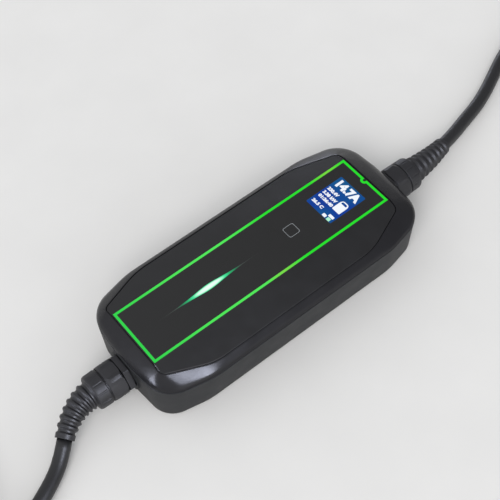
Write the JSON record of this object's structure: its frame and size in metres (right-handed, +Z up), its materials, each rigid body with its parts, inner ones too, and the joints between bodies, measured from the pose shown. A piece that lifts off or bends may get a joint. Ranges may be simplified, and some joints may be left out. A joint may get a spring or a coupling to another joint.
{
  "type": "portable ev charger",
  "caption": "Portable charger for electric cars: control box with display, charging light and touch key, a short mains lead with plug, and a tied vehicle cable with connector.",
  "frame": {"origin": "middle of the housing's flat underside, where it rests on a surface", "axes": "+X along the housing towards the display and the mains lead, +Z up through the front panel, +Y completes a right-handed frame"},
  "size_m": [0.9975, 0.1275, 0.088],
  "materials": {
    "shell_plastic": "fine moulded texture",
    "band_plastic": "semi-gloss moulding",
    "panel_sheet": "smoked sheet, satin",
    "border_green": "bright green, satin",
    "display_glass": "backlit display",
    "light_guide": "clear moulded light guide",
    "led_body": "moulded",
    "board_laminate": "green solder mask",
    "copper_pad": "plated",
    "screw_steel": "zinc plated",
    "seal_rubber": "matt",
    "boot_rubber": "matt moulded",
    "gland_nylon": "satin moulding",
    "cable_jacket": "satin extruded jacket",
    "core_insulation": "extruded",
    "plug_plastic": "moulded",
    "pin_nickel": "nickel plated",
    "clip_brass": "bright",
    "relay_case": "moulded",
    "sensor_case": "moulded",
    "transformer_tape": "taped winding",
    "capacitor_can": "sleeved can",
    "surge_coating": "dipped",
    "chip_epoxy": "moulded",
    "terminal_plastic": "moulded",
    "link_ribbon": "ribbon",
    "tie_webbing": "woven hook-and-loop"
  },
  "bodies": {
    "root": {"lower_shell": "shell_plastic", "upper_shell": "band_plastic", "fascia": "band_plastic", "front_panel": "panel_sheet", "green_border": "border_green", "display_module": "display_glass", "charge_light": "light_guide", "charge_leds": "led_body", "display_board": "board_laminate", "main_board": "board_laminate", "touch_sensor": "copper_pad", "housing_screws": "screw_steel", "display_board_screws": "screw_steel", "main_board_screws": "screw_steel", "housing_seal": "seal_rubber", "gland_washer_supply": "seal_rubber", "gland_washer_vehicle": "seal_rubber", "gland_seal_supply": "seal_rubber", "gland_seal_vehicle": "seal_rubber", "bend_boot_supply": "boot_rubber", "bend_boot_vehicle": "boot_rubber", "plug_boot": "boot_rubber", "connector_boot": "boot_rubber", "connector_cap": "boot_rubber", "gland_body_supply": "gland_nylon", "gland_body_vehicle": "gland_nylon", "gland_nut_supply": "gland_nylon", "gland_nut_vehicle": "gland_nylon", "gland_locknut_supply": "gland_nylon", "gland_locknut_vehicle": "gland_nylon", "cable_stub_supply": "cable_jacket", "cable_stub_vehicle": "cable_jacket", "supply_cord": "cable_jacket", "vehicle_cord": "cable_jacket", "vehicle_hank": "cable_jacket", "vehicle_cord_end": "cable_jacket", "cable_cores_supply": "core_insulation", "cable_cores_vehicle": "core_insulation", "sensor_cores": "core_insulation", "plug_body": "plug_plastic", "connector_grip": "plug_plastic", "connector_nose": "plug_plastic", "plug_pins": "pin_nickel", "plug_earth_clips": "clip_brass", "relays": "relay_case", "leakage_sensor": "sensor_case", "power_module": "transformer_tape", "capacitors": "capacitor_can", "surge_parts": "surge_coating", "controller_chips": "chip_epoxy", "terminal_supply": "terminal_plastic", "terminal_vehicle": "terminal_plastic", "board_link": "link_ribbon", "hank_ties": "tie_webbing"}
  },
  "joints": []
}
